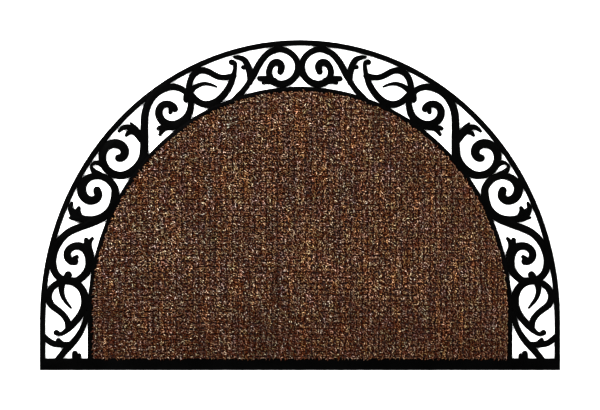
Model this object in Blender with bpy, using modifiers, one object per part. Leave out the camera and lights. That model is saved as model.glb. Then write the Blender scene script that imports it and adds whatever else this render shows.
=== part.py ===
"""Half-round doormat: a moulded rubber frame with an openwork border of scrolls, round a turf insert.

The mat lies flat. X runs across its width, Y from the straight front edge to the crown of the arch, Z up.
The origin is under the middle of the mat, on the floor.
"""

import math

import bmesh
import bpy

# Driving dimensions, in metres. Y is measured from the straight front edge.
MAT_WIDTH = 0.914
MAT_DEPTH = 0.580
ARCH_RISE = 0.490
RUBBER_HEIGHT = 0.008
OUTER_RAIL_WIDTH = 0.009
FRONT_BAR_WIDTH = 0.020
BORDER_INNER_HALF_WIDTH = 0.373
BORDER_INNER_DEPTH = 0.498
BORDER_INNER_RISE = 0.400
INNER_RAIL_WIDTH = 0.009
TRAY_FLOOR = 0.0025
PILE_TOP = 0.012
PILE_SHOULDER = 0.0025
GAP = 0.0003

# How finely the curves are drawn
ARCH_SIDES = 64
MOST_TURN = math.radians(13)
MOST_STEP = 0.009
LEAST_STEP = 0.0004
CAP_SIDES = 6
CURVE_STEPS = 8
VOLUTE_STEP = 22.5
WELD = 0.00002

MM = 0.001

# The scrolls of the right half, as a smith bends them, in millimetres from the middle of the front edge.
# stem: x, y and width of the bar on its way to the volute.
# centre: x and y of the volute.
# quarters: angle in degrees, radius and width of the bar as it winds in.
SCROLLS = {
    "crown": {
        "stem": [(118, 471, 12), (96.5, 495, 9.5), (83, 516, 11), (71, 539, 11.5), (57, 556, 11)],
        "centre": (40, 529),
        "quarters": [
            (90, 34.7, 11), (135, 37, 10.5), (180, 36.5, 11), (270, 25, 12), (360, 13.5, 10.5),
            (450, 12, 12.5), (540, 7, 11.5), (580, 7, 10.5),
        ],
    },
    "shoulder": {
        "stem": [(196, 488, 11), (191.5, 471, 10.5)],
        "centre": (228, 456),
        "quarters": [
            (180, 34.5, 12), (225, 28, 14), (270, 24.5, 13.5), (360, 20, 13), (450, 10.6, 12),
            (520, 8.5, 11),
        ],
    },
    "haunch": {
        "stem": [
            (199, 487, 9), (208, 494, 10.5), (222, 498, 11.5), (240, 494, 12), (255, 484, 12),
            (266, 469, 12.5), (272.5, 450, 13), (273.7, 425, 13.5), (273.7, 402, 14),
        ],
        "centre": (320, 380),
        "quarters": [
            (180, 45.3, 15), (225, 40, 14.5), (270, 37.5, 13), (360, 27, 13.5), (450, 17.5, 16),
            (540, 11.5, 14.5), (620, 7.5, 13),
        ],
    },
    "elbow": {
        "stem": [
            (397, 271, 15), (383, 265.5, 13), (363, 264.5, 12.5), (344, 271.5, 13), (330, 287, 14),
        ],
        "centre": (362, 314),
        "quarters": [
            (180, 37, 13), (90, 27, 12), (0, 22, 16), (-90, 15.5, 14), (-165, 6.5, 14), (-195, 5.5, 13),
        ],
    },
    "side": {
        "stem": [(414, 157, 12)],
        "centre": (394, 200),
        "quarters": [
            (270, 43.3, 12), (225, 31, 14), (180, 23, 15), (90, 18, 13), (0, 15.3, 12.5),
            (-80, 9.5, 12),
        ],
    },
}

# Stems, leaves, buds and knobs, with round ends: x, y and width along the middle line.
BARS = {
    "crown_bud": [(44, 508, 11), (57, 512, 9.5), (70, 512.2, 9.5)],
    "crown_bud_lobe": [(50, 507, 9), (59, 506.5, 7.5), (64.5, 504.5, 5.5)],
    "crown_tip": [(32, 531, 9), (30.4, 527, 5.5)],
    "crown_tip_lobe": [(36, 530, 6), (35.8, 526.4, 5)],
    "crown_leaf": [
        (88, 505, 9), (87.8, 518, 11), (91.3, 534, 11), (98, 545.3, 10), (107, 549.3, 8),
        (114.8, 550.3, 4.8),
    ],
    "crown_leaf_lobe": [(92, 533, 8), (100, 532.3, 7)],
    "leaf_belly": [
        (120.5, 541.3, 9.5), (115, 539.5, 7.5), (114, 532, 6.5), (116.2, 520, 8.5), (120, 507, 10.5),
        (126, 495, 11.5), (135.5, 482, 12), (148.5, 471, 12.5), (164, 467, 12), (178, 471, 11.5),
        (192, 483, 12),
    ],
    "leaf_back": [
        (117, 517, 11), (129, 514.6, 10), (141, 515, 10), (152, 519.7, 10.5), (163, 525.5, 10.5),
        (175, 526.5, 11), (186.3, 520, 11), (193, 508.5, 10.5), (195.5, 496, 10.5), (195, 484, 11),
    ],
    "leaf_rib": [
        (146.5, 498, 2.8), (155, 501.5, 4.4), (165, 503.5, 6), (174, 502.3, 7.2), (183, 498.3, 8.5),
        (192, 491, 10),
    ],
    "joint_knob": [(197, 490, 9), (199.5, 482, 11), (200.3, 475.2, 10)],
    "shoulder_tip": [(222, 463, 9), (218.3, 458.6, 6.6)],
    "shoulder_tip_lobe": [(226, 462, 10), (228, 453, 7)],
    "shoulder_bud": [(215, 431, 14), (232, 427, 12), (246, 425.5, 8.5), (249.8, 424.2, 6)],
    "shoulder_bud_lobe": [(236, 426, 10), (243, 419, 7), (246.3, 414.2, 6)],
    "haunch_leaf": [
        (276, 403, 13), (284.5, 415, 14.5), (294, 423, 13.5), (304, 427.5, 9), (312, 425, 7.5),
        (318, 419.5, 4.4),
    ],
    "haunch_leaf_lobe": [(294, 420, 9), (302, 416.5, 8), (305.5, 412.3, 5)],
    "haunch_leaf_tooth": [(288, 423, 9), (297.6, 434, 3.6)],
    "haunch_barb": [(342, 357, 12), (351, 363.3, 10), (360, 364.3, 6.5), (366.5, 360.3, 3)],
    "elbow_barb": [(350, 341, 12), (360, 347, 11), (366, 354, 6.8), (366.7, 361, 3)],
    "elbow_leaf": [(386, 267, 13), (397, 274, 15), (403.4, 284, 9), (401, 293.3, 4.8)],
    "elbow_leaf_lobe": [(388, 270, 12), (390.5, 279, 9), (389, 284.8, 6.6)],
    "elbow_leaf_tooth": [(388, 265.5, 11), (398, 266.5, 7), (406, 267.6, 2.6)],
    "long_stem": [
        (334, 276, 10), (350, 264, 10), (366, 257.5, 10.5), (381, 252.8, 12), (396, 247.5, 13),
        (409, 240.5, 12.5), (421, 228.5, 12.5), (430, 213, 12.5), (434.7, 196, 12.5), (434, 181, 12.5),
        (429, 168.5, 12), (419, 159, 12),
    ],
    "side_tip": [(399, 193, 10), (396, 188.6, 7), (394, 187.4, 5.6)],
    "side_tip_lobe": [(400, 193, 10), (392.6, 198.8, 6.8)],
    "side_bud": [(371, 202, 17), (373.4, 217, 13.3), (376, 229, 7.4)],
    "side_bud_lobe": [(371, 216, 9), (369.5, 225, 7.5), (365.2, 231, 5.4)],
    "side_knob": [(413, 157, 13), (407.5, 167.2, 12.6)],
    "low_leaf_belly": [
        (415, 156, 11), (403, 155.5, 12), (391, 150, 12.5), (382.5, 140, 13), (378, 126, 14),
        (378.7, 112, 14), (385.6, 98, 12), (394, 86.5, 12), (404, 75.5, 11), (413.3, 67, 8),
        (421.3, 63, 7), (428.6, 65.6, 9.4),
    ],
    "low_leaf_back": [
        (414, 157, 11), (426, 152.5, 11), (436.5, 144, 11.3), (442.3, 130, 11.5), (438.5, 116, 11.5),
        (428.6, 107.2, 10.8), (417, 97.8, 10.2), (409.4, 86.5, 10.5), (407.5, 74, 10),
    ],
    "low_leaf_rib": [
        (417.5, 154, 11), (419.4, 143, 9.6), (418.5, 133, 8), (414.3, 123.5, 6.6), (408, 115.3, 5),
        (402.5, 109, 3),
    ],
    "foot_stem": [
        (374, 100, 9), (378, 85, 9), (383.5, 71, 9.5), (390.7, 58.7, 10.5), (399.3, 48, 11.5),
        (408.3, 38, 11.5), (417, 28.7, 11), (428.5, 14, 11),
    ],
    "foot_leaf": [(405, 44, 10.5), (419, 44.5, 10.3), (431, 45.5, 10), (441, 50.3, 10), (451, 59, 9.5)],
    "foot_leaf_lobe": [(419, 46, 9), (425, 51.8, 8)],
    "foot_bud": [(395.7, 14, 9.6), (395.7, 28.6, 9.8)],
    "foot_bud_lobe": [(388.3, 14, 7.2), (388.3, 25.6, 7)],
}


def spline_through(rows, steps):
    """A Catmull-Rom curve through rows of numbers, as a longer list of rows."""
    first = tuple(2 * a - b for a, b in zip(rows[0], rows[1]))
    last = tuple(2 * a - b for a, b in zip(rows[-1], rows[-2]))
    guarded = [first, *rows, last]
    drawn = []
    for before, start, end, after in zip(guarded, guarded[1:], guarded[2:], guarded[3:]):
        for step in range(steps):
            t = step / steps
            drawn.append(
                tuple(
                    b + t * (c - a + t * (2 * a - 5 * b + 4 * c - d + t * (3 * (b - c) + d - a))) * 0.5
                    for a, b, c, d in zip(before, start, end, after)
                )
            )
    return [*drawn, tuple(rows[-1])]


def volute_rows(centre, quarters):
    """The volute's middle line as x, y, width rows, from its radius and width at each quarter turn."""
    steps = round(90 / VOLUTE_STEP)
    turned = spline_through(quarters, steps)
    return [
        (
            centre[0] + radius * math.cos(math.radians(angle)),
            centre[1] + radius * math.sin(math.radians(angle)),
            width,
        )
        for angle, radius, width in turned
    ]


def thinned(rows):
    """The rows that a curve needs: one wherever it has turned or run far enough since the last."""
    kept = [rows[0]]
    heading = None
    for here, ahead in zip(rows[1:], rows[2:]):
        leaving = math.atan2(ahead[1] - here[1], ahead[0] - here[0])
        if heading is None:
            heading = leaving
        turned = abs((leaving - heading + math.pi) % math.tau - math.pi)
        if turned > MOST_TURN or math.dist(here[:2], kept[-1][:2]) > MOST_STEP:
            kept.append(here)
            heading = leaving
    return [*kept, rows[-1]]


def side_line(rows, side):
    """One edge of a bar. A point is left out where a tight bend would fold the edge back on itself."""
    edge = []
    last = len(rows) - 1
    for index, (x, y, width) in enumerate(rows):
        behind = rows[max(index - 1, 0)]
        ahead = rows[min(index + 1, last)]
        run = math.dist(behind[:2], ahead[:2])
        along = ((ahead[0] - behind[0]) / run, (ahead[1] - behind[1]) / run)
        point = (x - side * along[1] * width / 2, y + side * along[0] * width / 2)
        if edge:
            forward = (point[0] - edge[-1][0]) * along[0] + (point[1] - edge[-1][1]) * along[1]
            if forward < LEAST_STEP:
                continue
        edge.append(point)
    return edge


def round_end(start, end):
    """Points on the half circle from start to end, anticlockwise, without the two themselves."""
    middle = ((start[0] + end[0]) / 2, (start[1] + end[1]) / 2)
    radius = math.dist(start, end) / 2
    first = math.atan2(start[1] - middle[1], start[0] - middle[0])
    return [
        (
            middle[0] + radius * math.cos(first + math.pi * step / CAP_SIDES),
            middle[1] + radius * math.sin(first + math.pi * step / CAP_SIDES),
        )
        for step in range(1, CAP_SIDES)
    ]


def bar_outline(chart_rows):
    """The outline of a bar with round ends, in metres, from its middle line in millimetres."""
    rows = [(x * MM, y * MM, width * MM) for x, y, width in chart_rows]
    rows = thinned(spline_through(rows, CURVE_STEPS))
    left = side_line(rows, 1)
    right = side_line(rows, -1)
    far_end = round_end(right[-1], left[-1])
    near_end = round_end(left[0], right[0])
    return [*right, *far_end, *reversed(left), *near_end]


def arch_outline(half_width, front, crown, rise):
    """A half-round outline: a straight front, two short straight sides and a half ellipse over them."""
    spring = crown - rise
    arch = [
        (
            half_width * math.cos(math.pi * step / ARCH_SIDES),
            spring + rise * math.sin(math.pi * step / ARCH_SIDES),
        )
        for step in range(ARCH_SIDES + 1)
    ]
    return [(-half_width, front), (half_width, front), *arch]


def flat_piece(name, outlines, bottom, top, collection):
    """A slab between two heights. Outlines inside the first one are holes."""
    curve = bpy.data.curves.new(name, "CURVE")
    curve.dimensions = "2D"
    curve.fill_mode = "BOTH"
    curve.extrude = (top - bottom) / 2
    for outline in outlines:
        spline = curve.splines.new("POLY")
        spline.points.add(len(outline) - 1)
        for point, (x, y) in zip(spline.points, outline):
            point.co = (x, y, 0, 1)
        spline.use_cyclic_u = True
    drawn = bpy.data.objects.new(name + "_outline", curve)
    collection.objects.link(drawn)
    bpy.context.view_layer.update()
    evaluated = drawn.evaluated_get(bpy.context.evaluated_depsgraph_get())
    mesh = bpy.data.meshes.new_from_object(evaluated)
    bpy.data.objects.remove(drawn)
    bpy.data.curves.remove(curve)
    piece = bpy.data.objects.new(name, mesh)
    collection.objects.link(piece)
    shape = bmesh.new()
    shape.from_mesh(mesh)
    bmesh.ops.remove_doubles(shape, verts=shape.verts, dist=WELD)
    bmesh.ops.translate(shape, verts=shape.verts, vec=(0, 0, (top + bottom) / 2))
    bmesh.ops.recalc_face_normals(shape, faces=shape.faces)
    shape.to_mesh(mesh)
    shape.free()
    return piece


def new_collection(name):
    collection = bpy.data.collections.new(name)
    bpy.context.scene.collection.children.link(collection)
    return collection


def new_material(name, colour, roughness):
    material = bpy.data.materials.new(name)
    material.use_nodes = True
    shader = material.node_tree.nodes["Principled BSDF"]
    shader.inputs["Base Color"].default_value = (*colour, 1)
    shader.inputs["Roughness"].default_value = roughness
    shader.inputs["Metallic"].default_value = 0
    return material


def border_arch(inset, front):
    """The line round the insert, moved inwards by inset."""
    return arch_outline(
        BORDER_INNER_HALF_WIDTH - inset, front, BORDER_INNER_DEPTH - inset, BORDER_INNER_RISE - inset
    )


def add_scrollwork(collection):
    """The bars of the right half's scrolls and leaves, each a slab of its own until they are joined."""
    for name, scroll in SCROLLS.items():
        middle_line = [*scroll["stem"], *volute_rows(scroll["centre"], scroll["quarters"])]
        flat_piece(name, [bar_outline(middle_line)], 0, RUBBER_HEIGHT, collection)
    for name, middle_line in BARS.items():
        flat_piece(name, [bar_outline(middle_line)], 0, RUBBER_HEIGHT, collection)


def join_cut_and_mirror(frame, bars, pocket):
    """Joins the bars to the frame, cuts the pocket for the insert and copies the right half to the left."""
    union = frame.modifiers.new("join_bars", "BOOLEAN")
    union.operation = "UNION"
    union.operand_type = "COLLECTION"
    union.collection = bars
    union.solver = "EXACT"
    cut = frame.modifiers.new("insert_pocket", "BOOLEAN")
    cut.operation = "DIFFERENCE"
    cut.object = pocket
    cut.solver = "EXACT"
    mirror = frame.modifiers.new("left_half", "MIRROR")
    mirror.use_bisect_axis = (True, False, False)
    mirror.merge_threshold = WELD
    weld = frame.modifiers.new("weld_slivers", "WELD")
    weld.merge_threshold = WELD
    dissolve = frame.modifiers.new("one_flat_top", "DECIMATE")
    dissolve.decimate_type = "DISSOLVE"
    dissolve.angle_limit = math.radians(0.2)


def make_frame(collection, bars, cutters):
    """The rubber frame, moulded in one with its scrolls, rails, front bar and tray floor.

    The plate inside the border becomes the inner rail and the tray floor once the pocket is cut from it.
    """
    half_width = MAT_WIDTH / 2
    rail = OUTER_RAIL_WIDTH
    frame = flat_piece(
        "rubber_frame",
        [
            arch_outline(half_width, 0, MAT_DEPTH, ARCH_RISE),
            arch_outline(half_width - rail, FRONT_BAR_WIDTH, MAT_DEPTH - rail, ARCH_RISE - rail),
        ],
        0,
        RUBBER_HEIGHT,
        collection,
    )
    flat_piece("insert_plate", [border_arch(0, FRONT_BAR_WIDTH / 2)], 0, RUBBER_HEIGHT, bars)
    add_scrollwork(bars)
    pocket_outline = border_arch(INNER_RAIL_WIDTH, FRONT_BAR_WIDTH)
    pocket = flat_piece("insert_pocket", [pocket_outline], TRAY_FLOOR, 2 * RUBBER_HEIGHT, cutters)
    for helper in (*bars.objects, pocket):
        helper.hide_render = True
        helper.display_type = "WIRE"
    join_cut_and_mirror(frame, bars, pocket)
    frame.data.materials.append(new_material("black_rubber", (0.012, 0.012, 0.012), 0.6))
    return frame


def make_insert(collection):
    """The turf insert: backing and pile as one slab with a soft shoulder, bonded in the tray."""
    outline = border_arch(INNER_RAIL_WIDTH + GAP, FRONT_BAR_WIDTH + GAP)
    insert = flat_piece("pile_insert", [outline], TRAY_FLOOR + GAP, PILE_TOP, collection)
    shape = bmesh.new()
    shape.from_mesh(insert.data)
    top_rim = [
        edge
        for edge in shape.edges
        if all(vert.co.z > PILE_TOP - WELD for vert in edge.verts)
        and any(abs(face.normal.z) < 0.5 for face in edge.link_faces)
    ]
    bmesh.ops.bevel(shape, geom=top_rim, offset=PILE_SHOULDER, segments=3, affect="EDGES", profile=0.5)
    shape.to_mesh(insert.data)
    shape.free()
    insert.data.materials.append(new_material("brown_turf", (0.08, 0.04, 0.024), 0.55))
    return insert


def main():
    for item in list(bpy.data.objects):
        bpy.data.objects.remove(item)
    doormat = new_collection("doormat")
    bars = new_collection("scroll_bars")
    cutters = new_collection("cutters")
    front_edge = bpy.data.objects.new("front_edge", None)
    doormat.objects.link(front_edge)
    front_edge.location = (0, -MAT_DEPTH / 2, 0)
    frame = make_frame(doormat, bars, cutters)
    insert = make_insert(doormat)
    for piece in (frame, insert, *bars.objects, *cutters.objects):
        piece.parent = front_edge


main()
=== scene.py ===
"""Half-round doormat: the looks of a flat mat with a moulded rubber scroll border and an insert of turf pile.

The mat lies on the floor, with X along its straight front edge and Y from that edge to the crown of the arch.
"""

import math
from functools import partial

import bmesh
import bpy
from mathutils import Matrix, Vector
from mathutils.geometry import delaunay_2d_cdt, intersect_point_line


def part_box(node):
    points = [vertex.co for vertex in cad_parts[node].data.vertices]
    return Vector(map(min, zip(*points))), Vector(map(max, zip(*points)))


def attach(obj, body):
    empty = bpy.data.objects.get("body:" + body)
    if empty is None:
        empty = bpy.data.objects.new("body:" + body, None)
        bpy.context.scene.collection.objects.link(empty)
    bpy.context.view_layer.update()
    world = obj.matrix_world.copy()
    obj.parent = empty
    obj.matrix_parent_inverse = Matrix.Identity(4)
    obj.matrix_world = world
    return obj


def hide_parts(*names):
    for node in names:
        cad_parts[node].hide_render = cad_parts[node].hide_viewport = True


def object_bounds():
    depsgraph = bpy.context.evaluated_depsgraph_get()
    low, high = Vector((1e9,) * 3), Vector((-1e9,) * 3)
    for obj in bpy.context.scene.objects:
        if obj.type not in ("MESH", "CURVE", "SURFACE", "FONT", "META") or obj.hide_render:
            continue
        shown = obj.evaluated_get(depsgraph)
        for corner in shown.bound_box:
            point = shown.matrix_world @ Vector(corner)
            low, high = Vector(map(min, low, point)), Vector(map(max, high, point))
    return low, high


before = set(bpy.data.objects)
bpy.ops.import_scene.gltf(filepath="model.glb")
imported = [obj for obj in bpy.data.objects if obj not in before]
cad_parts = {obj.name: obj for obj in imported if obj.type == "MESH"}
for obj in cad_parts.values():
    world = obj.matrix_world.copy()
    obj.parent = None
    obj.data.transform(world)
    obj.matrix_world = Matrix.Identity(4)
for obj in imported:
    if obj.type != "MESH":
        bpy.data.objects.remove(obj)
CAD_LOW, CAD_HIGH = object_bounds()

bl_info = {
    "name": "Half-round Doormat",
    "version": (1, 0, 0),
    "blender": (4, 5, 0),
    "location": "3D View > Sidebar > Doormat",
    "description": "Dresses a half-round doormat with rounded black rubber scrolls and a curled turf pile",
    "category": "Object",
}

BODY = "root"
FRAME_NODE = "rubber_frame"
INSERT_NODE = "pile_insert"
FRAME_LOW, FRAME_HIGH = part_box(FRAME_NODE)
INSERT_LOW, INSERT_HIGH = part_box(INSERT_NODE)
MM = 0.001

# The insert's arch: two short straight sides and half an ellipse over them
INSERT_HALF_WIDTH = (INSERT_HIGH.x - INSERT_LOW.x) / 2
INSERT_RISE = 0.3907
INSERT_SPRING = INSERT_HIGH.y - INSERT_RISE
SEAT_GAP = 0.3 * MM

# How much of the photograph's width the front edge takes, and how far right of its middle the camera stands
FRONT_EDGE_SHARE = 520.35 / 600
CAMERA_ASIDE = 0.17 * MM

# How finely the border's bends and rounded edges are drawn. At a point of a smooth bend the outline turns by
# less than 35 degrees, and from 165 degrees on it turns straight back.
BEND_STEPS = 2
LONGEST_BEND = 20 * MM
SMOOTH_BEND = math.cos(math.radians(35))
TURNED_BACK = math.cos(math.radians(165))
ROUNDING_STEPS = 3

# How often a moved outline is unfolded, and the sharpness at which its mitred corners are cut short
UNFOLDING_PASSES = 6
MITRE_LIMIT = 0.6

# The draft closes an opening by no more than this share of its width from either side, and grows along the
# outline by this share of the way gone. What slants off by less than this sine is the point's own side.
DRAFT_SHARE = 0.3
DRAFT_GROWTH = 0.5
OWN_SIDE_SLANT = 0.35

# The way to fill rings in which a ring inside another is a hole
TRIANGLES_WITH_HOLES = 5

# How finely a strand of the pile is drawn, and how many pieces the pile is in
STRAND_POINTS = 6
STRAND_SIDES = 3
PILE_STRIPS = 6

# A strand's arch stops just short of a half turn from end to end, and its top is a little flat
ARCH_SWEEP = math.pi * 0.98
ARCH_POWER = 0.7

# How high the middle of a strand lies over the backing and over the rubber, as a share of its width
ROOT_REST = 0.3
RAIL_REST = 0.55

# Where a strand near the insert's edge starts and ends its rise onto the rubber, measured past the edge
RISE_START = -3 * MM
RISE_END = -0.4 * MM

# Roots are drawn this share of the way to the middle of their tuft, along X and along Y
ROW_PULL = (0.19, 0.15, 0.0)
ROOT_INSET = 0.2 * MM

# The lay of the pile at the left end and the right end of the mat, as turns from the X axis
LEFT_LAY = math.radians(160)
RIGHT_LAY = math.radians(115)

# What differs from strand to strand, from the least to the most, in the order in which it is drawn
STRAND_DRAWS = {
    "length": (0.6, 1.35),
    "curl": (0.8, 4.2),
    "heading": (math.radians(-65), math.radians(65)),
    "lean": (-0.9, 0.9),
    "reach": (0.45, 1.0),
    "tone": (-0.22, 0.22),
    "thickness": (0.4, 0.6),
}

# The tone of a middling strand, and how much more or less the tones differ at the two ends of the mat
MIDDLE_TONE = 0.7
LEFT_ROUGHNESS = 1.5
RIGHT_ROUGHNESS = 0.8
ROUGHNESS_REACH = 0.3

# How strongly the tint of the rows, the stray strands and the wear change the yarn's colour, and for how
# many tufts a tint holds along its row
TINT_SHARE = 0.6
STRAY_SHARE = 0.25
WEAR_SHARE = 0.6
TUFTS_ALONG = 7


def linear(hex_colour):
    """An sRGB hex colour as the linear RGBA that Blender's sockets hold."""
    channels = [int(hex_colour[i : i + 2], 16) / 255 for i in (1, 3, 5)]
    return (*(c / 12.92 if c <= 0.04045 else ((c + 0.055) / 1.055) ** 2.4 for c in channels), 1)


def socket_of(sockets, key):
    """A node's socket by number, or the one of that name that the node's settings leave on."""
    if isinstance(key, int):
        return sockets[key]
    return next(socket for socket in sockets if socket.name == key and socket.enabled)


def add_node(tree, kind, inputs=(), output=0, stops=(), **settings):
    """Adds a node and returns one of its outputs.

    inputs come in the order of the node's sockets, or by their names. Each is a constant, or another
    node's output to link. stops are the places and colours of a colour ramp.
    """
    node = tree.nodes.new(kind)
    for name, value in settings.items():
        setattr(node, name, value)
    for key, value in inputs.items() if isinstance(inputs, dict) else enumerate(inputs):
        socket = socket_of(node.inputs, key)
        if isinstance(value, bpy.types.NodeSocket):
            tree.links.new(value, socket)
        else:
            socket.default_value = value
    if stops:
        elements = node.color_ramp.elements
        for place, colour in stops[1:-1]:
            elements.new(place).color = colour
        for element, (place, colour) in ((elements[0], stops[0]), (elements[-1], stops[-1])):
            element.position = place
            element.color = colour
    return socket_of(node.outputs, output) if node.outputs else None


def new_material(name):
    """A material, its tree, and its Principled shader's inputs."""
    material = bpy.data.materials.new(name)
    material.use_nodes = True
    tree = material.node_tree
    return material, tree, tree.nodes["Principled BSDF"].inputs


def linked_object(name, mesh):
    piece = bpy.data.objects.new(name, mesh)
    bpy.context.scene.collection.objects.link(piece)
    return piece


def finish_piece(piece, nodes):
    """Hands a finished piece over: its body and the CAD nodes that it stands for."""
    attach(piece, BODY)
    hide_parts(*nodes)


def colour_property(name, description, hex_colour):
    """A colour that the user picks, with its default as sRGB hex."""
    return bpy.props.FloatVectorProperty(
        name=name,
        description=description,
        default=linear(hex_colour),
        subtype="COLOR",
        size=4,
        min=0.0,
        max=1.0,
    )


class RubberSettings(bpy.types.PropertyGroup):
    edge_round: bpy.props.FloatProperty(
        name="Edge radius",
        description="Radius of the moulded top edges",
        default=0.9 * MM,
        unit="LENGTH",
    )
    draft: bpy.props.FloatProperty(
        name="Draft",
        description="How much farther out the rubber stands at its foot than at its top, to leave the mould",
        default=0.45 * MM,
        unit="LENGTH",
    )
    tray_floor: bpy.props.FloatProperty(
        name="Tray floor",
        description="Thickness of the rubber under the insert",
        default=INSERT_LOW.z - SEAT_GAP,
        unit="LENGTH",
    )
    grain: bpy.props.FloatProperty(
        name="Grain",
        description="Spacing of the mould's grain, about 0.5 mm on the real one and drawn coarser to show",
        default=1.2 * MM,
        unit="LENGTH",
    )
    black: colour_property("Rubber", "Colour of the rubber", "#010101")
    bloom: colour_property("Bloom", "Colour of the faint grey bloom on the rubber", "#040404")


class PileSettings(bpy.types.PropertyGroup):
    spacing: bpy.props.FloatProperty(
        name="Spacing",
        description="Least distance between the roots of two strands",
        default=3.0 * MM,
        unit="LENGTH",
    )
    strand_width: bpy.props.FloatProperty(
        name="Strand width",
        description="Width of a strand, about 1.2 mm on the real one and drawn wider to show",
        default=2.3 * MM,
        unit="LENGTH",
    )
    strand_length: bpy.props.FloatProperty(
        name="Strand length",
        description="Mean length of a curled strand",
        default=7.8 * MM,
        unit="LENGTH",
    )
    crimp: bpy.props.FloatProperty(
        name="Crimp",
        description="Distance between crimps, about 0.8 mm on the real one and drawn coarser to show",
        default=2.4 * MM,
        unit="LENGTH",
    )
    tuft_pitch: bpy.props.FloatProperty(
        name="Tuft pitch",
        description="Distance between the rows of tufts",
        default=9.9 * MM,
        unit="LENGTH",
    )
    backing: bpy.props.FloatProperty(
        name="Backing",
        description="Thickness of the backing sheet",
        default=2.2 * MM,
        unit="LENGTH",
    )
    brown: colour_property("Brown yarn", "Colour of the darkest strands", "#64553e")
    tan: colour_property("Tan yarn", "Colour of the middling strands", "#9e9381")
    pale: colour_property("Pale yarn", "Colour of the palest strands", "#d2cec9")
    cool: colour_property("Cool rows", "Tint of the greyest rows of tufts", "#8c8a94")
    warm: colour_property("Warm rows", "Tint of the warmest rows of tufts", "#d4a680")
    # Painted shade: this colour is painted deep between the strands, where the pile shades itself
    painted_hollow_shade: colour_property("Hollows", "Colour deep between the strands", "#330e00")
    backing_brown: colour_property("Backing colour", "Colour of the backing sheet", "#220a00")
    seed: bpy.props.IntProperty(name="Seed", description="Which random pile is grown", default=7)


class StageSettings(bpy.types.PropertyGroup):
    lens: bpy.props.FloatProperty(
        name="Lens",
        description="Focal length of the camera",
        default=150,
        unit="CAMERA",
    )
    key_power: bpy.props.FloatProperty(
        name="Key light",
        description="Power of the main softbox",
        default=250,
        unit="POWER",
    )
    fill_power: bpy.props.FloatProperty(
        name="Fill light",
        description="Power of each other softbox",
        default=125,
        unit="POWER",
    )
    floor: colour_property("Floor", "Colour of the floor", "#f4f4f4")


def rubber_material(settings):
    """Recycled rubber, compression moulded.

    It is nearly black and dull. The mould's fine grain breaks up the soft gleam on its rounded edges, and a
    faint grey bloom lies on it in patches about 60 mm across.
    """
    material, tree, shader = new_material("moulded_black_rubber")
    node = partial(add_node, tree)
    place = node("ShaderNodeTexCoord", output="Object")
    grain = node(
        "ShaderNodeTexNoise", {"Vector": place, "Scale": 1 / settings.grain, "Roughness": 0.6}
    )
    patches = node("ShaderNodeTexNoise", {"Vector": place, "Scale": 1 / (60 * MM), "Detail": 3.0})
    tone = node("ShaderNodeValToRGB", (patches,), stops=((0.35, settings.black), (0.65, settings.bloom)))
    dullness = node(
        "ShaderNodeMapRange",
        {"Value": grain, "From Min": 0.3, "From Max": 0.7, "To Min": 0.42, "To Max": 0.58},
    )
    relief = node("ShaderNodeBump", {"Height": grain, "Strength": 0.35, "Distance": 0.3 * MM})
    tree.links.new(tone, shader["Base Color"])
    tree.links.new(dullness, shader["Roughness"])
    tree.links.new(relief, shader["Normal"])
    shader["Specular IOR Level"].default_value = 0.02
    return material


def yarn_colour(node, settings, place):
    """The colour of the yarn itself, before the painted shade of its hollows: by strand, by row of tufts and
    by patch of the mat.

    One yarn runs along each row, so the tints change from row to row and hold for about seven tufts on it.
    """
    tone = node("ShaderNodeAttribute", output="Fac", attribute_name="tone")
    yarn = node(
        "ShaderNodeValToRGB",
        (tone,),
        stops=((0.3, settings.brown), (0.7, settings.tan), (1.0, settings.pale)),
    )
    stretch = (1.0, 1 / TUFTS_ALONG, 1.0)
    rows = node("ShaderNodeVectorMath", (place, stretch), operation="MULTIPLY")
    by_row = node(
        "ShaderNodeTexNoise", {"Vector": rows, "Scale": 0.8 / settings.tuft_pitch, "Detail": 1.0}
    )
    tint = node(
        "ShaderNodeValToRGB",
        (by_row,),
        stops=((0.3, settings.cool), (0.5, linear("#b0a498")), (0.7, settings.warm)),
    )
    tinted = node(
        "ShaderNodeMix",
        {"Factor": TINT_SHARE, "A": yarn, "B": tint},
        "Result",
        data_type="RGBA",
        blend_type="OVERLAY",
    )

    # Stray olive and rose strands, in spots about 17 mm across
    stray = node("ShaderNodeTexNoise", {"Vector": place, "Scale": 1 / (17 * MM)}, "Color")
    mixed = node(
        "ShaderNodeMix",
        {"Factor": STRAY_SHARE, "A": tinted, "B": stray},
        "Result",
        data_type="RGBA",
        blend_type="OVERLAY",
    )

    # Wear and lay change the pile's shade slowly, over about 110 mm
    worn = node("ShaderNodeTexNoise", {"Vector": place, "Scale": 1 / (110 * MM), "Detail": 2.0})
    drift = node(
        "ShaderNodeValToRGB",
        (worn,),
        stops=((0.3, linear("#b4c0b2")), (0.5, linear("#ece2d4")), (0.7, linear("#fff8dc"))),
    )
    return node(
        "ShaderNodeMix",
        {"Factor": WEAR_SHARE, "A": mixed, "B": drift},
        "Result",
        data_type="RGBA",
        blend_type="MULTIPLY",
    )


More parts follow.
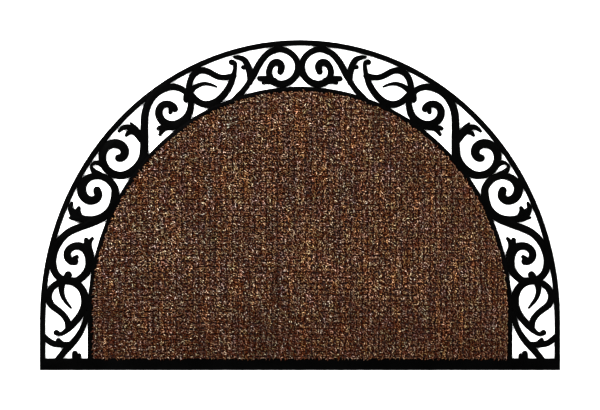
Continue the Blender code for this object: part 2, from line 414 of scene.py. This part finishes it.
def pile_brightness(node, settings, place, upwards):
    """How bright the pile is from front to crown: painted shade at the front edge, where the pile leans away
    from the light, and a little painted light at the crown.
    """
    along = node(
        "ShaderNodeMapRange", {"Value": upwards, "From Min": INSERT_LOW.y, "From Max": INSERT_HIGH.y}
    )
    # Painted shade and light: darker along the front edge, a little lighter at the crown
    lean = node(
        "ShaderNodeValToRGB",
        (along,),
        stops=(
            (0.06, linear("#d2d2d2")),
            (0.27, linear("#f2f2f2")),
            (0.75, linear("#f2f2f2")),
            (1.0, linear("#ffffff")),
        ),
    )

    # The rows differ in brightness too, by a pattern of their own, 3 m along from that of their tints
    stretch = (1.0, 1 / TUFTS_ALONG, 1.0)
    rows = node("ShaderNodeVectorMath", (place, stretch, (3.0, 0.0, 0.0)), operation="MULTIPLY_ADD")
    by_row = node(
        "ShaderNodeTexNoise", {"Vector": rows, "Scale": 0.7 / settings.tuft_pitch, "Detail": 1.0}
    )
    shade = node(
        "ShaderNodeMapRange",
        {"Value": by_row, "From Min": 0.3, "From Max": 0.7, "To Min": 0.85, "To Max": 1.11},
    )
    return node("ShaderNodeMath", (lean, shade), operation="MULTIPLY")


def pile_material(settings, root_height, top_height):
    """Olefin turf yarn, extruded and crimped, in mixed browns.

    On top of the pile its plastic crimps are painted with glints, and high in the pile and on a strand's
    upper side the yarn's colour is painted lighter; between the strands painted shade takes it to a deep
    red-brown.
    """
    material, tree, shader = new_material("brown_olefin_turf")
    node = partial(add_node, tree)
    place = node("ShaderNodeTexCoord", output="Object")
    ways = node("ShaderNodeSeparateXYZ", (place,)).node.outputs
    yarn = yarn_colour(node, settings, place)
    brightness = pile_brightness(node, settings, place, ways["Y"])
    bright = node("ShaderNodeVectorMath", {0: yarn, "Scale": brightness}, operation="SCALE")

    # Painted light and shade: the yarn's own colour shows high in the pile, on the upper side of a strand and
    # in painted glints along its crimps, and elsewhere it goes to the painted shade of the hollows
    height = node(
        "ShaderNodeMapRange", {"Value": ways["Z"], "From Min": root_height, "From Max": top_height}
    )
    # Painted shade: the lower a point lies in the pile, the more its colour goes to the hollows' painted
    # shade
    painted_light_by_height = node("ShaderNodeMath", (height, 2.0), operation="POWER")
    facing = node("ShaderNodeTexCoord", output="Normal")
    upright = node("ShaderNodeSeparateXYZ", (facing,), "Z")
    # Painted light: a strand's upper side keeps the yarn's colour, and its sides and underside are painted
    # darker
    painted_light_by_facing = node("ShaderNodeMapRange", {"Value": upright, "From Min": 0.2, "From Max": 0.9})
    crimp = node("ShaderNodeTexNoise", {"Vector": place, "Scale": 1 / settings.crimp, "Detail": 0.0})
    # Painted glints: the crimp pattern paints the yarn lighter and darker along each strand
    painted_crimp_glints = node(
        "ShaderNodeMapRange",
        {"Value": crimp, "From Min": 0.42, "From Max": 0.58, "To Min": 0.18, "To Max": 1.0},
    )
    shown = node("ShaderNodeMath", (painted_light_by_height, painted_light_by_facing), operation="MULTIPLY")
    shown = node("ShaderNodeMath", (shown, painted_crimp_glints), operation="MULTIPLY")
    # Where the painted light is low, the painted shade colour of the hollows replaces the yarn's colour
    colour = node(
        "ShaderNodeMix",
        {"Factor": shown, "A": settings.painted_hollow_shade, "B": bright},
        "Result",
        data_type="RGBA",
    )
    relief = node("ShaderNodeBump", {"Height": crimp, "Strength": 1.0, "Distance": 1.0 * MM})
    tree.links.new(colour, shader["Base Color"])
    tree.links.new(relief, shader["Normal"])
    shader["Roughness"].default_value = 0.34
    shader["Specular IOR Level"].default_value = 0.03
    return material


def backing_material(settings):
    """Coated turf backing: dull, lumpy and dark brown, seen only deep between the strands."""
    material, tree, shader = new_material("coated_turf_backing")
    node = partial(add_node, tree)
    place = node("ShaderNodeTexCoord", output="Object")
    lumps = node("ShaderNodeTexNoise", {"Vector": place, "Scale": 1 / settings.crimp})
    tone = node(
        "ShaderNodeValToRGB",
        (lumps,),
        stops=((0.35, linear("#140400")), (0.5, settings.backing_brown), (0.68, linear("#361402"))),
    )
    relief = node("ShaderNodeBump", {"Height": lumps, "Distance": 1.5 * MM})
    tree.links.new(tone, shader["Base Color"])
    tree.links.new(relief, shader["Normal"])
    shader["Roughness"].default_value = 0.8
    return material


def insert_outline(inset, sides=96):
    """The insert's outline moved inwards by inset: the front corners, then the arch from right to left."""
    half_width = INSERT_HALF_WIDTH - inset
    rise = INSERT_RISE - inset
    front = INSERT_LOW.y + inset
    turns = [math.pi * i / sides for i in range(sides + 1)]
    arch = [(half_width * math.cos(a), INSERT_SPRING + rise * math.sin(a)) for a in turns]
    return [(-half_width, front), (half_width, front), *arch]


def backing_top(settings):
    return INSERT_LOW.z + settings.backing


def top_outlines(node):
    """The outlines of a CAD node's flat top as lists of 2D points, each with the rubber on its left."""
    shape = bmesh.new()
    shape.from_mesh(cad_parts[node].data)
    bmesh.ops.remove_doubles(shape, verts=shape.verts, dist=0.02 * MM)
    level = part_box(node)[1].z - 0.01 * MM
    top = {face for face in shape.faces if all(vert.co.z > level for vert in face.verts)}
    following = {}
    for face in top:
        for loop in face.loops:
            if not top.issuperset(loop.edge.link_faces):
                following[loop.vert] = loop.link_loop_next.vert
    outlines = []
    while following:
        vert, ahead = following.popitem()
        outline = [vert.co.xy.copy()]
        while ahead in following:
            outline.append(ahead.co.xy.copy())
            ahead = following.pop(ahead)
        outlines.append(outline)
    shape.free()
    return outlines


def area_of(outline):
    """The area inside an outline, below zero where it runs clockwise."""
    return sum(a.cross(b) for a, b in zip(outline, outline[1:] + outline[:1])) / 2


def blunted(outline):
    """An outline without the points at which it turns straight back, in hairline corners."""
    kept = outline[:]
    for index in reversed(range(len(outline))):
        behind = (kept[index] - kept[index - 1]).normalized()
        ahead = (kept[(index + 1) % len(kept)] - kept[index]).normalized()
        if behind.dot(ahead) < TURNED_BACK:
            del kept[index]
    return kept


def curved(outline):
    """An outline with its bends drawn finer. Its corners and its long straight sides stay as they are."""
    sides = [(b - a).normalized() for a, b in zip(outline, outline[1:] + outline[:1])]
    count = len(outline)
    drawn = []
    for index, (start, side) in enumerate(zip(outline, sides)):
        end = outline[(index + 1) % count]
        length = (end - start).length
        leaving = arriving = side
        if side.dot(sides[index - 1]) > SMOOTH_BEND:
            leaving = (side + sides[index - 1]).normalized()
        if side.dot(sides[(index + 1) % count]) > SMOOTH_BEND:
            arriving = (side + sides[(index + 1) % count]).normalized()
        drawn.append(start)
        if length < LONGEST_BEND:
            for step in range(1, BEND_STEPS):
                t = step / BEND_STEPS
                drawn.append(
                    start * (1 + 2 * t) * (1 - t) ** 2
                    + end * (3 - 2 * t) * t**2
                    + leaving * length * t * (1 - t) ** 2
                    - arriving * length * t**2 * (1 - t)
                )
    return drawn


def drafts(outline, most):
    """How far each point of an outline stands out at the rubber's foot, which is less in a narrow corner."""
    ends = outline[1:] + outline[:1]
    found = []
    for index, point in enumerate(outline):
        behind = (point - outline[index - 1]).normalized()
        ahead = (ends[index] - point).normalized()
        outwards = -(behind.orthogonal() + ahead.orthogonal()).normalized()
        room = most / DRAFT_SHARE
        for start, end in zip(outline, ends):
            if point in (start, end):
                continue
            share = intersect_point_line(point, start, end)[1]
            gap = start.lerp(end, min(max(share, 0.0), 1.0)) - point
            if gap.length < room and gap.dot(outwards) > OWN_SIDE_SLANT * gap.length:
                room = gap.length
        found.append(room * DRAFT_SHARE)

    # It grows gently along the outline, whichever way that is followed
    for way in (1, -1):
        for index in range(2 - len(outline), len(outline)):
            here = index * way
            before = (index - 1) * way
            growth = (outline[here] - outline[before]).length * DRAFT_GROWTH
            found[here] = min(found[here], found[before] + growth)
    return found


def moved_in(outline, distances):
    """An outline moved towards the rubber on its left. Where a tight bend would fold it, points meet."""
    sides = [(b - a).normalized() for a, b in zip(outline, outline[1:] + outline[:1])]
    moved = []
    for point, behind, ahead, distance in zip(outline, sides[-1:] + sides[:-1], sides, distances):
        mitre = (behind.orthogonal() + ahead.orthogonal()) / max(1 + behind.dot(ahead), MITRE_LIMIT)
        moved.append(point + mitre * distance)
    for _ in range(UNFOLDING_PASSES):
        for index in range(len(moved)):
            if (moved[index] - moved[index - 1]).dot(sides[index - 1]) < 0:
                moved[index] = (moved[index] + moved[index - 1]) / 2
                moved[index - 1] = moved[index].copy()
    return moved


def fill_flat(shape, rings, facing):
    """Closes rings of points at one height with triangles. A ring inside another is a hole."""
    verts = [vert for ring in rings for vert in ring]
    loops = []
    for ring in rings:
        first = sum(len(loop) for loop in loops)
        loops.append(list(range(first, first + len(ring))))
    places = [vert.co.xy for vert in verts]
    found = delaunay_2d_cdt(places, [], loops, TRIANGLES_WITH_HOLES, 1e-7)
    points, triangles, origins = found[0], found[2], found[3]
    height = verts[0].co.z
    corners = [
        verts[origin[0]] if origin else shape.verts.new((point.x, point.y, height))
        for point, origin in zip(points, origins)
    ]
    for triangle in triangles:
        shape.faces.new([corners[index] for index in triangle[::facing]])


def moulded_border(settings):
    """The rubber frame drawn from the outlines of the CAD frame, with fine bends and rounded top edges."""
    outlines = [curved(blunted(outline)) for outline in top_outlines(FRAME_NODE)]
    pocket = min(outlines, key=area_of)
    radius = settings.edge_round
    shape = bmesh.new()
    top_rings = []
    floor_rings = []
    for outline in outlines:
        upright = [0.0] * len(outline)
        if outline is pocket:
            levels = [(upright, settings.tray_floor)]
        else:
            levels = [([-draft for draft in drafts(outline, settings.draft)], FRAME_LOW.z)]
        levels.append((upright, FRAME_HIGH.z - radius))
        for step in range(1, ROUNDING_STEPS + 1):
            turn = math.pi / 2 * step / ROUNDING_STEPS
            inset = radius * (1 - math.cos(turn))
            levels.append(([inset] * len(outline), FRAME_HIGH.z - radius * (1 - math.sin(turn))))
        rings = [
            [shape.verts.new((point.x, point.y, height)) for point in moved_in(outline, insets)]
            for insets, height in levels
        ]
        for low, high in zip(rings, rings[1:]):
            for index in range(len(low)):
                shape.faces.new((low[index - 1], low[index], high[index], high[index - 1]))
        top_rings.append(rings[-1])
        floor_rings.append(rings[0])
    fill_flat(shape, top_rings, 1)
    tray = floor_rings.pop(outlines.index(pocket))
    fill_flat(shape, [tray], 1)
    fill_flat(shape, floor_rings, -1)
    bmesh.ops.remove_doubles(shape, verts=shape.verts, dist=0.002 * MM)
    mesh = bpy.data.meshes.new("scroll_border")
    shape.to_mesh(mesh)
    shape.free()
    mesh.shade_smooth()
    mesh.set_sharp_from_angle(angle=math.radians(40))
    return mesh


class DOORMAT_OT_rubber_frame(bpy.types.Operator):
    """Dress the rubber frame with rounded edges and a moulded rubber finish"""

    bl_idname = "doormat.rubber_frame"
    bl_label = "Rubber Frame"

    def execute(self, context):
        settings = context.scene.doormat_rubber
        border = linked_object("scroll_border", moulded_border(settings))
        border.data.materials.append(rubber_material(settings))
        finish_piece(border, [FRAME_NODE])
        return {"FINISHED"}


def backing_mesh(settings):
    """A closed flat slab of the insert's outline."""
    shape = bmesh.new()
    low = shape.faces.new([shape.verts.new((x, y, INSERT_LOW.z)) for x, y in insert_outline(0)])
    made = bmesh.ops.extrude_face_region(shape, geom=[low])["geom"]
    raised = [item for item in made if isinstance(item, bmesh.types.BMVert)]
    bmesh.ops.translate(shape, verts=raised, vec=(0, 0, settings.backing))
    bmesh.ops.recalc_face_normals(shape, faces=shape.faces)
    mesh = bpy.data.meshes.new("turf_backing")
    shape.to_mesh(mesh)
    shape.free()
    return mesh


def strip_mesh(number, settings):
    """The upright strip of the backing's top on which one piece of the pile grows."""
    height = backing_top(settings)
    shape = bmesh.new()
    outline = insert_outline(ROOT_INSET)
    shape.faces.new([shape.verts.new((x, y, height)) for x, y in outline])
    width = 2 * INSERT_HALF_WIDTH / PILE_STRIPS
    left = -INSERT_HALF_WIDTH + number * width
    for x, outwards in ((left, -1), (left + width, 1)):
        whole = [*shape.verts, *shape.edges, *shape.faces]
        bmesh.ops.bisect_plane(
            shape, geom=whole, plane_co=(x, 0, 0), plane_no=(outwards, 0, 0), clear_outer=True
        )
    mesh = bpy.data.meshes.new(f"turf_pile_{number + 1}")
    shape.to_mesh(mesh)
    shape.free()
    return mesh


PILE_INPUTS = (
    ("Spacing", "NodeSocketFloat"),
    ("Strand Width", "NodeSocketFloat"),
    ("Strand Length", "NodeSocketFloat"),
    ("Tuft Pitch", "NodeSocketFloat"),
    ("Root Height", "NodeSocketFloat"),
    ("Pile Height", "NodeSocketFloat"),
    ("Rail Height", "NodeSocketFloat"),
    ("Seed", "NodeSocketInt"),
    ("Material", "NodeSocketMaterial"),
)


def planted_strands(node, given, position):
    """Scattered roots, drawn towards the tufts of a square grid. Each has a straight curve 1 mm long."""
    scattered = node(
        "GeometryNodeDistributePointsOnFaces",
        {
            "Mesh": given["Geometry"],
            "Distance Min": given["Spacing"],
            "Density Max": 1e7,
            "Seed": given["Seed"],
        },
        distribute_method="POISSON",
    )
    pitch = node("ShaderNodeCombineXYZ", (given["Tuft Pitch"], given["Tuft Pitch"], 1.0))
    corner = node("ShaderNodeVectorMath", (position, pitch), operation="SNAP")
    middle = node("ShaderNodeVectorMath", (pitch, (0.5, 0.5, 0.5), corner), operation="MULTIPLY_ADD")
    offset = node("ShaderNodeVectorMath", (middle, position), operation="SUBTRACT")
    drawn = node("ShaderNodeVectorMath", (offset, ROW_PULL, position), operation="MULTIPLY_ADD")
    roots = node("GeometryNodeSetPosition", {"Geometry": scattered, "Position": drawn})
    line = node("GeometryNodeCurvePrimitiveLine", {"Start": (0, 0, 0), "End": (MM, 0, 0)})
    straight = node("GeometryNodeResampleCurve", {"Curve": line, "Count": STRAND_POINTS})
    planted = node("GeometryNodeInstanceOnPoints", {"Points": roots, "Instance": straight})
    return node("GeometryNodeRealizeInstances", (planted,))


def strand_plan(node, given, draws, root, middle_out):
    """Where a strand's points lie seen from above: on an arc round its root, crinkled a little."""
    length = node("ShaderNodeMath", (given["Strand Length"], draws["length"]), operation="MULTIPLY")
    radius = node("ShaderNodeMath", (length, draws["curl"]), operation="DIVIDE")
    swept = node("ShaderNodeMath", (draws["curl"], middle_out), operation="MULTIPLY")
    sine = node("ShaderNodeMath", (swept,), operation="SINE")
    cosine = node("ShaderNodeMath", (swept,), operation="COSINE")
    half_curl = node("ShaderNodeMath", (draws["curl"], 0.5), operation="MULTIPLY")
    end_cosine = node("ShaderNodeMath", (half_curl,), operation="COSINE")
    half_way = node("ShaderNodeMath", (end_cosine, 0.5, 0.5), operation="MULTIPLY_ADD")
    bulge = node("ShaderNodeMath", (half_way, cosine), operation="SUBTRACT")
    arc = node("ShaderNodeCombineXYZ", (sine, bulge))
    sized = node("ShaderNodeVectorMath", {0: arc, "Scale": radius}, operation="SCALE")
    lay = node(
        "ShaderNodeMapRange",
        {
            "Value": node("ShaderNodeSeparateXYZ", (root,), "X"),
            "From Min": -INSERT_HALF_WIDTH,
            "From Max": INSERT_HALF_WIDTH,
            "To Min": LEFT_LAY,
            "To Max": RIGHT_LAY,
        },
    )
    heading = node("ShaderNodeMath", (lay, draws["heading"]), operation="ADD")
    turned = node("ShaderNodeVectorRotate", {"Vector": sized, "Angle": heading}, rotation_type="Z_AXIS")
    spot = node("ShaderNodeVectorMath", (root, turned), operation="ADD")

    # The crinkle bends strands that lie together the same way, over about 6 mm
    noise = node("ShaderNodeTexNoise", {"Vector": spot, "Scale": 1 / (6.25 * MM), "Detail": 0.0}, "Color")
    either_way = node("ShaderNodeVectorMath", (noise, (0.5, 0.5, 0.5)), operation="SUBTRACT")
    crinkle = node("ShaderNodeMath", (given["Strand Length"], 0.5), operation="MULTIPLY")
    wander = node("ShaderNodeVectorMath", {0: either_way, "Scale": crinkle}, operation="SCALE")
    return node("ShaderNodeVectorMath", (spot, wander), operation="ADD")


def strand_height(node, given, draws, middle_out):
    """The height of a strand's points: an arch, higher at one end than at the other."""
    swept = node("ShaderNodeMath", (middle_out, ARCH_SWEEP), operation="MULTIPLY")
    cosine = node("ShaderNodeMath", (swept,), operation="COSINE")
    arch = node("ShaderNodeMath", (cosine, ARCH_POWER), operation="POWER")
    lean = node("ShaderNodeMath", (draws["lean"], middle_out, 1.0), operation="MULTIPLY_ADD")
    leaning = node("ShaderNodeMath", (arch, lean), operation="MULTIPLY")
    reach = node("ShaderNodeMath", (given["Pile Height"], draws["reach"]), operation="MULTIPLY")
    return node("ShaderNodeMath", (leaning, reach, given["Root Height"]), operation="MULTIPLY_ADD")


def least_height(node, given, spot, spot_y):
    """The least height of a strand there: the roots', or the rubber's top where it strays over the edge."""
    from_spring = node("ShaderNodeVectorMath", (spot, (0, INSERT_SPRING, 0)), operation="SUBTRACT")
    on_arch = node("ShaderNodeVectorMath", (from_spring, (-1, 0, 0)), operation="MAXIMUM")
    arch_size = (1 / INSERT_HALF_WIDTH, 1 / INSERT_RISE, 0)
    shares = node("ShaderNodeVectorMath", (on_arch, arch_size), operation="MULTIPLY")
    from_middle = node("ShaderNodeVectorMath", (shares,), "Value", operation="LENGTH")
    past_arch = node("ShaderNodeMath", (from_middle, INSERT_RISE, -INSERT_RISE), operation="MULTIPLY_ADD")
    past_front = node("ShaderNodeMath", (INSERT_LOW.y, spot_y), operation="SUBTRACT")
    past_edge = node("ShaderNodeMath", (past_arch, past_front), operation="MAXIMUM")
    on_rail = node(
        "ShaderNodeMath", (given["Strand Width"], RAIL_REST, given["Rail Height"]), operation="MULTIPLY_ADD"
    )
    return node(
        "ShaderNodeMapRange",
        {
            "Value": past_edge,
            "From Min": RISE_START,
            "From Max": RISE_END,
            "To Min": given["Root Height"],
            "To Max": on_rail,
        },
    )


def strand_tone(node, draws, root):
    """How pale a strand is. The pile is rougher on the left, where its tones differ more."""
    roughness = node(
        "ShaderNodeMapRange",
        {
            "Value": node("ShaderNodeSeparateXYZ", (root,), "X"),
            "From Min": -ROUGHNESS_REACH,
            "From Max": ROUGHNESS_REACH,
            "To Min": LEFT_ROUGHNESS,
            "To Max": RIGHT_ROUGHNESS,
        },
    )
    return node("ShaderNodeMath", (draws["tone"], roughness, MIDDLE_TONE), operation="MULTIPLY_ADD")


def strand_radius(node, given, draws, middle_out):
    """Half the width of a strand, which narrows to half of that at its two ends."""
    from_middle = node("ShaderNodeMath", (middle_out,), operation="ABSOLUTE")
    endness = node("ShaderNodeMath", (from_middle, 2.0), operation="MULTIPLY")
    narrowing = node("ShaderNodeMath", (endness, 3.0), operation="POWER")
    taper = node("ShaderNodeMath", (narrowing, -0.5, 1.0), operation="MULTIPLY_ADD")
    thickness = node("ShaderNodeMath", (given["Strand Width"], draws["thickness"]), operation="MULTIPLY")
    return node("ShaderNodeMath", (thickness, taper), operation="MULTIPLY")


def pile_tree():
    """The tree that grows the pile: each strand is a curled arch whose ends dip towards the backing."""
    tree = bpy.data.node_groups.new("curled_turf", "GeometryNodeTree")
    tree.interface.new_socket("Geometry", in_out="OUTPUT", socket_type="NodeSocketGeometry")
    tree.interface.new_socket("Geometry", in_out="INPUT", socket_type="NodeSocketGeometry")
    for name, kind in PILE_INPUTS:
        tree.interface.new_socket(name, in_out="INPUT", socket_type=kind)
    given = tree.nodes.new("NodeGroupInput").outputs
    node = partial(add_node, tree)
    position = node("GeometryNodeInputPosition")
    strands = planted_strands(node, given, position)

    # Each strand has its number, and each of its points its place from -0.5 to 0.5
    strand = node("GeometryNodeCurveOfPoint", output="Curve Index")
    step = node("GeometryNodeCurveOfPoint", output="Index in Curve")
    along = node("ShaderNodeMath", (step, STRAND_POINTS - 1.0), operation="DIVIDE")
    middle_out = node("ShaderNodeMath", (along, 0.5), operation="SUBTRACT")
    from_root = node("ShaderNodeVectorMath", {0: (MM, 0, 0), "Scale": along}, operation="SCALE")
    root = node("ShaderNodeVectorMath", (position, from_root), operation="SUBTRACT")
    draws = {}
    for number, (name, (low, high)) in enumerate(STRAND_DRAWS.items(), start=1):
        seed = node("ShaderNodeMath", (given["Seed"], 100.0 * number), operation="ADD")
        inputs = {"Min": low, "Max": high, "ID": strand, "Seed": seed}
        draws[name] = node("FunctionNodeRandomValue", inputs, "Value")

    spot = strand_plan(node, given, draws, root, middle_out)
    ways = node("ShaderNodeSeparateXYZ", (spot,)).node.outputs
    free = strand_height(node, given, draws, middle_out)
    least = least_height(node, given, spot, ways["Y"])
    height = node("ShaderNodeMath", (free, least), operation="MAXIMUM")
    place = node("ShaderNodeCombineXYZ", (ways["X"], ways["Y"], height))
    shaped = node("GeometryNodeSetPosition", {"Geometry": strands, "Position": place})
    toned = node(
        "GeometryNodeStoreNamedAttribute",
        {"Geometry": shaped, "Name": "tone", "Value": strand_tone(node, draws, root)},
        data_type="FLOAT",
        domain="POINT",
    )
    profile = node("GeometryNodeCurvePrimitiveCircle", {"Resolution": STRAND_SIDES, "Radius": 1.0})
    tubes = node(
        "GeometryNodeCurveToMesh",
        {
            "Curve": toned,
            "Profile Curve": profile,
            "Scale": strand_radius(node, given, draws, middle_out),
            "Fill Caps": True,
        },
    )
    smooth = node("GeometryNodeSetShadeSmooth", (tubes,))
    real = node("GeometryNodeRealizeInstances", (smooth,))
    coloured = node("GeometryNodeSetMaterial", {"Geometry": real, "Material": given["Material"]})
    node("NodeGroupOutput", (coloured,))
    return tree


def grown(piece, tree, values):
    """The piece with its mesh replaced by what the tree makes of it, as plain geometry."""
    modifier = piece.modifiers.new(tree.name, "NODES")
    modifier.node_group = tree
    for socket in tree.interface.items_tree:
        if socket.in_out == "INPUT" and socket.name in values:
            modifier[socket.identifier] = values[socket.name]
    bpy.context.view_layer.update()
    evaluated = piece.evaluated_get(bpy.context.evaluated_depsgraph_get())
    mesh = bpy.data.meshes.new_from_object(evaluated)
    piece.modifiers.remove(modifier)
    flat = piece.data
    piece.data = mesh
    mesh.name = piece.name
    bpy.data.meshes.remove(flat)
    return piece


class DOORMAT_OT_turf_insert(bpy.types.Operator):
    """Lay the turf's backing in the tray and grow its curled pile"""

    bl_idname = "doormat.turf_insert"
    bl_label = "Turf Insert"

    def execute(self, context):
        settings = context.scene.doormat_pile
        backing = linked_object("turf_backing", backing_mesh(settings))
        backing.data.materials.append(backing_material(settings))
        finish_piece(backing, [INSERT_NODE])
        root_height = backing_top(settings) + ROOT_REST * settings.strand_width
        pile_height = INSERT_HIGH.z - root_height
        tree = pile_tree()
        values = {
            "Spacing": settings.spacing,
            "Strand Width": settings.strand_width,
            "Strand Length": settings.strand_length,
            "Tuft Pitch": settings.tuft_pitch,
            "Root Height": root_height,
            "Pile Height": pile_height,
            "Rail Height": FRAME_HIGH.z,
            "Material": pile_material(settings, root_height, INSERT_HIGH.z),
        }
        for number in range(PILE_STRIPS):
            strip = linked_object(f"turf_pile_{number + 1}", strip_mesh(number, settings))
            grown(strip, tree, {**values, "Seed": settings.seed + number})
            finish_piece(strip, [INSERT_NODE])
        return {"FINISHED"}


def softbox(name, place, size, power):
    """A square area light aimed at the middle of the mat."""
    light = bpy.data.lights.new(name, "AREA")
    light.shape = "SQUARE"
    light.size = size
    light.energy = power
    box = bpy.data.objects.new(name, light)
    bpy.context.scene.collection.objects.link(box)
    box.location = place
    box.rotation_euler = (-Vector(place)).to_track_quat("-Z", "Y").to_euler()


class DOORMAT_OT_stage(bpy.types.Operator):
    """Add the plain pale floor, the soft studio light and the camera straight above the mat"""

    bl_idname = "doormat.stage"
    bl_label = "Stage"

    def execute(self, context):
        settings = context.scene.doormat_stage
        scene = context.scene
        shape = bmesh.new()
        bmesh.ops.create_grid(shape, x_segments=1, y_segments=1, size=12.0)
        mesh = bpy.data.meshes.new("pale_floor")
        shape.to_mesh(mesh)
        shape.free()
        floor = linked_object("pale_floor", mesh)
        material, _, shader = new_material("pale_floor")
        shader["Base Color"].default_value = settings.floor
        shader["Roughness"].default_value = 0.9
        shader["Specular IOR Level"].default_value = 0.1
        mesh.materials.append(material)

        softbox("key_softbox", (-1.5, 1.7, 3.3), 1.3, settings.key_power)
        softbox("right_softbox", (2.2, 0.7, 3.3), 2.0, settings.fill_power)
        softbox("front_softbox", (-0.6, -2.3, 3.3), 2.0, settings.fill_power)

        world = bpy.data.worlds.new("soft_studio")
        world.use_nodes = True
        background = world.node_tree.nodes["Background"]
        background.inputs["Color"].default_value = (1, 1, 1, 1)
        background.inputs["Strength"].default_value = 0.3
        scene.world = world
        scene.view_settings.view_transform = "Standard"
        scene.view_settings.look = "High Contrast"

        camera = bpy.data.cameras.new("overhead_camera")
        camera.lens = settings.lens
        view_width = (CAD_HIGH.x - CAD_LOW.x) / FRONT_EDGE_SHARE
        distance = view_width * camera.lens / camera.sensor_width
        eye = bpy.data.objects.new("overhead_camera", camera)
        scene.collection.objects.link(eye)
        eye.location = (CAMERA_ASIDE, 0, FRAME_HIGH.z + distance)
        scene.camera = eye
        return {"FINISHED"}


PIECES = (DOORMAT_OT_rubber_frame, DOORMAT_OT_turf_insert, DOORMAT_OT_stage)


class DOORMAT_PT_panel(bpy.types.Panel):
    """The doormat's pieces in the 3D view's sidebar"""

    bl_idname = "DOORMAT_PT_panel"
    bl_label = "Doormat"
    bl_space_type = "VIEW_3D"
    bl_region_type = "UI"
    bl_category = "Doormat"

    def draw(self, context):
        for settings in (
            context.scene.doormat_rubber,
            context.scene.doormat_pile,
            context.scene.doormat_stage,
        ):
            box = self.layout.box()
            for name in settings.__annotations__:
                box.prop(settings, name)
        for operator in PIECES:
            self.layout.operator(operator.bl_idname)


SETTINGS = {
    "doormat_rubber": RubberSettings,
    "doormat_pile": PileSettings,
    "doormat_stage": StageSettings,
}
CLASSES = (*SETTINGS.values(), *PIECES, DOORMAT_PT_panel)


def register():
    for cls in CLASSES:
        bpy.utils.register_class(cls)
    for name, group in SETTINGS.items():
        setattr(bpy.types.Scene, name, bpy.props.PointerProperty(type=group))


def unregister():
    for name in SETTINGS:
        delattr(bpy.types.Scene, name)
    for cls in reversed(CLASSES):
        bpy.utils.unregister_class(cls)


def main():
    register()
    bpy.ops.doormat.rubber_frame()
    bpy.ops.doormat.turf_insert()
    bpy.ops.doormat.stage()


if __name__ == "__main__":
    main()
